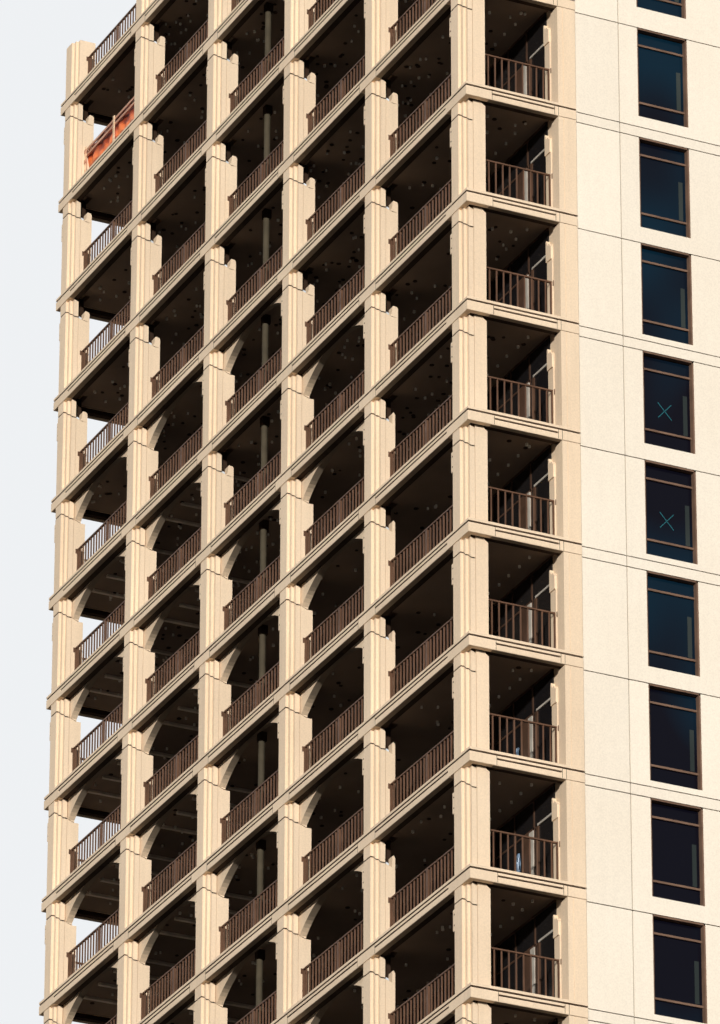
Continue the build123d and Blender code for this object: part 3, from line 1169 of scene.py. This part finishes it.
for row_name, row in ROWS.items():
    for number in range(1, BAYS + 2):
        column(f"{row_name}_column_{number}", number, row)
    edge_beams(f"{row_name}_edge_beams", row)
    band_lines(f"{row_name}_band_lines", row)
    band_painted_shade_undersides(f"{row_name}_band_painted_shade_undersides", row)
    soffit_fixings(f"{row_name}_soffit", row)
    loggia_frames(row_name, row)
column_details()
inner_posts()
door_film()
arch_panels()
packing_shims()
railings()
for side_name, side in SIDES.items():
    piers(f"{side_name}_piers", side)
    wall_panels(side_name, side)
    panel_backing(side_name, side)
    windows(side_name, side)
guard_place = (*bay_ends(GUARD_BAY), depth_y(-1, RAIL_SETBACK), LEVELS[GUARD_LEVEL])
guard_timber(*guard_place)
guard_sheet(*guard_place)

slab_nodes = ("low_floor_slabs", "middle_floor_slabs", "high_floor_slabs", "roof_slab", "ground_slab")
for material, node_names in ((SLABS, slab_nodes), (LOGGIA_GLASS, ("front_glazing", "back_glazing"))):
    for node_name in node_names:
        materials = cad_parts[node_name].data.materials
        materials.clear()
        materials.append(material)


# Stage, light and camera


def floor_stage():
    """A floor that is pale to the camera, gives back little light and is clear from below."""
    half = 30.0
    corners = [(-half, -half, 0), (half, -half, 0), (half, half, 0), (-half, half, 0)]
    mesh = bpy.data.meshes.new("floor")
    mesh.from_pydata(corners, [], [[0, 1, 2, 3]])
    look = material_look("floor")
    from_below = look.nodes.new("ShaderNodeNewGeometry").outputs["Backfacing"]
    to_camera = look.nodes.new("ShaderNodeLightPath").outputs["Is Camera Ray"]
    look.finish(look.mix("MIX", to_camera, (0.035, 0.030, 0.025, 1), (0.78, 0.77, 0.75, 1)), 0.95)
    look.shader.inputs["Emission Color"].default_value = (1.0, 0.99, 0.97, 1)
    look.feed(look.shader.inputs["Emission Strength"], look.maths("MULTIPLY", to_camera, 0.28))
    clear = look.nodes.new("ShaderNodeBsdfTransparent").outputs["BSDF"]
    unseen = look.maths("MULTIPLY", from_below, to_camera)
    look.blend(unseen, look.shader.outputs["BSDF"], clear, "Material Output")
    mesh.materials.append(look.owner)
    floor = new_object("floor", mesh)


def world_light(strength, background):
    """Soft light from all round, darker from low down; the camera sees a pale backdrop."""
    world = bpy.data.worlds.new("studio")
    bpy.context.scene.world = world
    look = Look(world)
    soft = look.nodes["Background"]
    soft.inputs["Strength"].default_value = strength
    coordinates = look.nodes.new("ShaderNodeTexCoord")
    split = look.nodes.new("ShaderNodeSeparateXYZ")
    look.links.new(coordinates.outputs["Generated"], split.inputs["Vector"])
    height = look.nodes.new("ShaderNodeMapRange")
    height.inputs["From Min"].default_value = -0.02
    height.inputs["From Max"].default_value = 0.45
    look.links.new(split.outputs["Z"], height.inputs["Value"])
    sky = look.ramp(height.outputs["Result"], (0.0, (0.035, 0.028, 0.022)), (1.0, (0.93, 0.96, 1.0)))
    look.links.new(sky, soft.inputs["Color"])
    pale = look.nodes.new("ShaderNodeBackground")
    pale.inputs["Color"].default_value = background
    to_camera = look.nodes.new("ShaderNodeLightPath").outputs["Is Camera Ray"]
    look.blend(to_camera, soft.outputs["Background"], pale.outputs["Background"], "World Output")


def direction(heading, pitch):
    """A unit vector from a heading, measured from +X towards +Y, and a pitch up, in degrees."""
    h, p = radians(heading), radians(pitch)
    return Vector((cos(h) * cos(p), sin(h) * cos(p), sin(p)))


def sun(name, azimuth, elevation, strength, angle, colour):
    """A soft sun that stands at an azimuth and an elevation."""
    data = bpy.data.lights.new(name, "SUN")
    data.energy = strength
    data.angle = radians(angle)
    data.color = colour
    lamp = new_object(name, data)
    lamp.rotation_euler = direction(azimuth, elevation).to_track_quat("Z", "Y").to_euler()


def camera(place, heading, pitch, roll, lens):
    """A camera at the photo's angle."""
    data = bpy.data.cameras.new("camera")
    data.lens = lens
    data.sensor_width = 36.0
    data.clip_end = 200.0
    cam = new_object("camera", data)
    turn = direction(heading, pitch).to_track_quat("-Z", "Y").to_matrix().to_4x4()
    cam.matrix_world = Matrix.Translation(place) @ turn @ Matrix.Rotation(radians(roll), 4, "Z")
    bpy.context.scene.camera = cam


floor_stage()
world_light(strength=0.36, background=(0.86, 0.88, 0.90, 1))
sun("key", azimuth=-31.0, elevation=5.5, strength=3.65, angle=2.0, colour=(1.0, 0.95, 0.87))
sun("fill", azimuth=215.0, elevation=35.0, strength=0.30, angle=40.0, colour=(0.95, 0.96, 1.0))
sun("back", azimuth=135.0, elevation=32.0, strength=1.3, angle=25.0, colour=(0.97, 0.98, 1.0))
camera(place=(14.965, -7.604, -5.8225), heading=154.65, pitch=26.098, roll=0.139, lens=244.67)
bpy.context.scene.view_settings.view_transform = "Standard"
